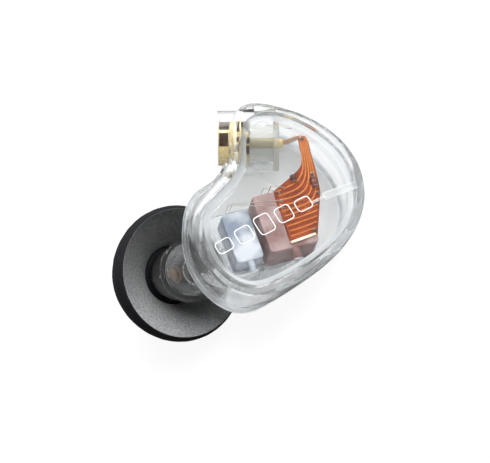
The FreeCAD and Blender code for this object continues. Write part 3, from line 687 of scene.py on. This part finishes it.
def retaining_ring():
    """Open wire ring in the boss, its gap turned away from the cover."""
    gap, steps, radius, depth, lean, wire = 40, 72, 2.22, -2.1, 0.05, 0.08
    line = []
    for k in range(steps + 1):
        angle = math.radians(gap / 2 + (360 - gap) * k / steps)
        height = depth + lean * math.sin(angle)
        line.append(Vector((radius * math.cos(angle), radius * math.sin(angle), height)))
    bm = bmesh.new()
    sweep(bm, line, round_section(wire, 12), Vector((0, 0, 1)))
    finished(new_object("retaining_ring_wire", bm), BOSS, "gold", "housing", "retaining_ring")


# ------------------------------------------------------------------ flexible circuit
FLEX_TOP = -2.04                               # upper face of the flexible circuit
FLEX_LOW = -2.14
NECK_LEFT, NECK_RIGHT = Vector((7.55, 0.72)), Vector((7.95, -0.12))
PANEL_LEFT, PANEL_RIGHT = Vector((1.17, 0.80)), Vector((2.93, -3.26))
PANEL_LOW_LEFT, PANEL_LOW_RIGHT = Vector((-3.27, -2.53)), Vector((-1.3, -4.5))


def at_height(point, z):
    return Vector((point[0], point[1], z))


def flex_outline():
    """Neck from the contact tail, then a panel over the woofer; the inner corners are curved."""
    inner = [(6.1, -0.15), (5.0, -0.85), (3.9, -0.5), (2.3, 0.25), tuple(PANEL_LEFT)]
    outer = [tuple(PANEL_RIGHT), (4.3, -2.5), (5.2, -1.9), (6.2, -1.2)]
    low_edge = [tuple(PANEL_LOW_LEFT), tuple(PANEL_LOW_RIGHT)]
    left, right = [tuple(NECK_LEFT)] + flat_spline(inner, 4), flat_spline(outer, 4) + [tuple(NECK_RIGHT)]
    return left + low_edge + right


def flex_circuit():
    """Film of the flexible circuit, its long edges softened."""
    bm = bmesh.new()
    outline = flex_outline()
    face = bm.faces.new([bm.verts.new((x, y, FLEX_LOW)) for x, y in outline])
    top = bmesh.ops.extrude_face_region(bm, geom=[face])
    for item in top["geom"]:
        if isinstance(item, bmesh.types.BMVert):
            item.co.z = FLEX_TOP
    rim = [e for e in bm.edges if abs(e.verts[0].co.z - e.verts[1].co.z) < 1e-6]
    bmesh.ops.bevel(bm, geom=rim, offset=0.03, segments=2, affect="EDGES", profile=0.6)
    piece = finished(new_object("flex_circuit_film", bm), HOUSING, "polyimide", "housing", "flex_circuit")
    shade_flat_large(piece)


def shade_flat_large(piece):
    """Keep big flat faces flat between smooth bevels."""
    for polygon in piece.data.polygons:
        polygon.use_smooth = len(polygon.vertices) <= 4


def cross_panel(distance, inset):
    """Ends of a line parallel to the panel's lower edge, at a distance up its left edge."""
    way = (PANEL_LOW_RIGHT - PANEL_LOW_LEFT).normalized()
    left_edge = (PANEL_LEFT - PANEL_LOW_LEFT).normalized()
    right_edge = (PANEL_RIGHT - PANEL_LOW_RIGHT).normalized()
    left = PANEL_LOW_LEFT + left_edge * distance
    along = (left - PANEL_LOW_RIGHT).cross(way) / right_edge.cross(way)
    right = PANEL_LOW_RIGHT + right_edge * along
    return left + way * inset, right - way * inset


def flex_traces():
    """Arched lines from the neck to the panel's left edge, and straight lines across its lower half."""
    bm = bmesh.new()
    section = flat_section(0.12, 0.04, 0.012)
    up = Vector((0, 0, 1))
    count = 5
    for k in range(count):
        s = k / (count - 1)
        route = [NECK_LEFT.lerp(NECK_RIGHT, 0.16 + 0.68 * s), Vector((4.95, -0.95)).lerp((5.05, -1.72), s),
                 Vector((3.7, -1.1)).lerp((3.3, -2.85), s), Vector((2.6, -0.75)).lerp((1.6, -3.0), s),
                 Vector((1.75, 0.1)).lerp((0.2, -1.6), s), Vector((1.3, 0.45)).lerp((-0.35, -0.55), s)]
        sweep(bm, spline_points([at_height(p, FLEX_TOP) for p in route], order=4), section, up)
    for row in range(6):
        left, right = cross_panel(0.75 + 0.52 * row, 0.2)
        sag = Vector((-0.04, -0.04)) * (1 + row % 2)
        line = [left, left.lerp(right, 0.5) + sag, right]
        sweep(bm, spline_points([at_height(p, FLEX_TOP) for p in line]), section, up)
    finished(new_object("flex_traces_etched", bm), HOUSING, "copper_trace", "housing", "flex_traces")


def flex_highlight_strip():
    """Cream strip along the panel's lower edge: a painted highlight of the flex's edge."""
    along = (PANEL_LOW_RIGHT - PANEL_LOW_LEFT).normalized()
    bm = bmesh.new()
    ends = (PANEL_LOW_LEFT + Vector((0.12, 0.10)) + along * 0.05,
            PANEL_LOW_RIGHT + Vector((0.10, 0.12)) - along * 0.1)
    line = [at_height(p, FLEX_TOP + 0.005) for p in ends]
    sweep(bm, line, flat_section(0.26, 0.06, 0.02), Vector((0, 0, 1)))
    piece = finished(new_object("painted_flex_edge_highlight", bm), HOUSING, "insulator", "housing")
    # painted highlight in place of the insulator's paint
    piece.data.materials[0] = PAINTED_EDGE_HIGHLIGHT.material


def solder_blob(bm, centre, radius, height, seed):
    """Low dome with a spread foot."""
    steps, sides = 7, 20
    rings = []
    for i in range(steps):
        s = i / (steps - 1)
        reach = radius * (1 - 0.999 * s ** 2.2)
        rise = height * (1 - (1 - s) ** 1.8)
        ring = []
        for k in range(sides):
            t = 2 * math.pi * k / sides
            wobble = 1 + 0.10 * noise.noise(Vector((math.cos(t) + seed, math.sin(t), s)))
            ring.append(bm.verts.new(centre + Vector((reach * wobble * math.cos(t),
                                                      reach * wobble * math.sin(t), rise))))
        rings.append(ring)
    for first, second in zip(rings, rings[1:]):
        for k in range(sides):
            bm.faces.new((first[k - 1], first[k], second[k], second[k - 1]))
    bm.faces.new(rings[-1])
    bm.faces.new(reversed(rings[0]))


PAD_RADIUS, LEAD_PAD_RADIUS, PAD_HEIGHT = 0.22, 0.16, 0.12
PADS = [(4.35, -1.95), (2.75, -3.05), (7.35, 0.2), (1.85, -3.35), (-0.95, -4.1)]
LEAD_PADS = [(1.8, 0.1), (1.15, 0.2), (0.5, -0.3), (-0.1, -0.75)]


def solder_joints():
    """Solder on the parts' pads and, smaller, on the receivers' leads."""
    bm = bmesh.new()
    for index, (x, y) in enumerate(PADS + LEAD_PADS):
        radius = PAD_RADIUS if index < len(PADS) else LEAD_PAD_RADIUS
        solder_blob(bm, Vector((x, y, FLEX_TOP)), radius, PAD_HEIGHT, index * 1.7)
    finished(new_object("solder_joints_domed", bm), HOUSING, "solder", "housing", "solder_joints")


# ------------------------------------------------------------------ marks on the cover
DOME_CENTRE = Vector((-0.5, -0.4, -47.3))
DOME_RADIUS = 48.0
BEAD_LIFT = 0.012


def on_dome(point):
    """The point over (x, y) where a raised line's foot lies, just off the cover's outer face."""
    x, y = point[0] - DOME_CENTRE.x, point[1] - DOME_CENTRE.y
    radius = DOME_RADIUS + BEAD_LIFT
    return Vector((point[0], point[1], DOME_CENTRE.z + math.sqrt(radius ** 2 - x * x - y * y)))


def dome_normal(point):
    return (point - DOME_CENTRE).normalized()


MARK_START, MARK_PITCH = Vector((-0.25, -2.2)), Vector((-1.7, 1.33))
MARK_HEIGHTS = (1.3, 1.6, 1.95, 1.6, 1.3)


def cover_marks():
    """Five rounded bar outlines of different heights, as raised beads."""
    run = MARK_PITCH.normalized()
    rise = Vector((-run.y, run.x))
    bm = bmesh.new()
    for index, height in enumerate(MARK_HEIGHTS):
        centre = MARK_START + MARK_PITCH * index
        half_w, half_h, corner = 0.78, height / 2 - 0.05, 0.34
        line = []
        for quarter, (sx, sy) in enumerate(((1, 1), (-1, 1), (-1, -1), (1, -1))):
            for k in range(7):
                t = math.radians(90 * quarter + 15 * k)
                x = sx * (half_w - corner) + corner * math.cos(t)
                y = sy * (half_h - corner) + corner * math.sin(t)
                line.append(on_dome(centre + run * x + rise * y))
        sweep(bm, line, flat_section(0.085, 0.06, 0.02), dome_normal, cyclic=True)
    finished(new_object("cover_marks_beads", bm), HOUSING, "mark_white", "housing", "cover_marks")


def index_rib():
    """White bar: four raised lines on a thin milky film, and the double line that leads to it, as a painted
    reflection of an edge on the cover.
    """
    streak_tail, start, end = Vector((0.22, -2.9)), Vector((1.33, -3.72)), Vector((3.95, -6.05))
    run = (end - start).normalized()
    side = Vector((-run.y, run.x))
    bm = bmesh.new()

    def stroke(first, last, width, height, film=0):
        before = len(bm.faces)
        line = [on_dome(first.lerp(last, k / 12)) for k in range(13)]
        sweep(bm, line, flat_section(width, height, min(height / 2, 0.03)), dome_normal)
        bm.faces.ensure_lookup_table()
        for face in bm.faces[before:]:
            face.material_index = film

    stroke(start, end, 0.62, 0.02, film=1)
    for offset, width in ((-0.33, 0.07), (-0.2, 0.05), (0.2, 0.05), (0.33, 0.07)):
        stroke(start + side * offset, end + side * offset, width, 0.06)
    stroke(start - side * 0.33, start + side * 0.33, 0.08, 0.06)
    for offset in (-0.07, 0.07):
        stroke(streak_tail + side * offset, start + side * offset, 0.05, 0.05)
    piece = finished(new_object("white_streak_bar", bm), HOUSING, "mark_white", "housing", "index_rib")
    piece.data.materials.append(STREAK_FILM.material)


# ------------------------------------------------------------------ tubes and small parts
TUBE_RADIUS = 0.5


def hose(name, node, points):
    """Soft tube that fills the route of a CAD tube."""
    bm = bmesh.new()
    sweep(bm, spline_points(points), round_section(TUBE_RADIUS, 20), Vector((0.3, 0.2, 1)))
    finished(new_object(name, bm), HOUSING, "clear_silicone", "housing", node)


def sound_tubes():
    hose("woofer_sound_tube_soft", "woofer_sound_tube",
         [(-4.07, -3.69, -2.65), (-4.46, -4.0, -2.65), (-5.34, -2.14, -5.0), (-6.1, 0.0, -6.35),
          (-6.0, 2.9, -7.2)])
    hose("tweeter_sound_tube_soft", "tweeter_sound_tube",
         [(-6.65, -0.33, -3.35), (-7.04, -0.64, -3.35), (-7.6, 0.9, -4.9), (-7.0, 3.7, -6.9)])


CHIP_TURN = math.radians(39)


def chip(name, node, slot, place, size):
    """Small ceramic block with tinned, slightly proud end caps."""
    length, width, height = size
    end, body_end, cap, proud = length / 2, length / 2 - 0.2, 0.22, 0.02
    bm = bmesh.new()
    for x0, x1, grow in ((-body_end, body_end, 0.0), (-end, -end + cap, proud), (end - cap, end, proud)):
        made = bmesh.ops.create_cube(bm, size=1)["verts"]
        for vert in made:
            vert.co = Vector(((x0 + x1) / 2 + vert.co.x * (x1 - x0), vert.co.y * (width + 2 * grow),
                              (height + grow) * (vert.co.z + 0.5)))
        if grow:
            for face in {f for v in made for f in v.link_faces}:
                face.material_index = 1
    bmesh.ops.bevel(bm, geom=bm.edges[:], offset=0.035, segments=3, affect="EDGES")
    place_here = (HOUSING @ Matrix.Translation(at_height(place, FLEX_TOP))
                  @ Matrix.Rotation(CHIP_TURN, 4, "Z"))
    piece = finished(new_object(name, bm), place_here, slot, "housing", node)
    piece.data.materials.append(MATERIALS["solder"].material)


add_camera()
add_studio()
paint_cad_nodes()
foam_sleeve()
tip_core()
wax_screen()
socket_barrel()
retaining_ring()
flex_circuit()
flex_traces()
flex_highlight_strip()
solder_joints()
cover_marks()
index_rib()
sound_tubes()
chip("crossover_capacitor_chip", "crossover_capacitor", "ceramic_tan", (3.55, -2.35), (1.0, 0.5, 0.35))
chip("crossover_resistor_chip", "crossover_resistor", "ceramic_black", (3.1, -0.45), (0.8, 0.4, 0.25))
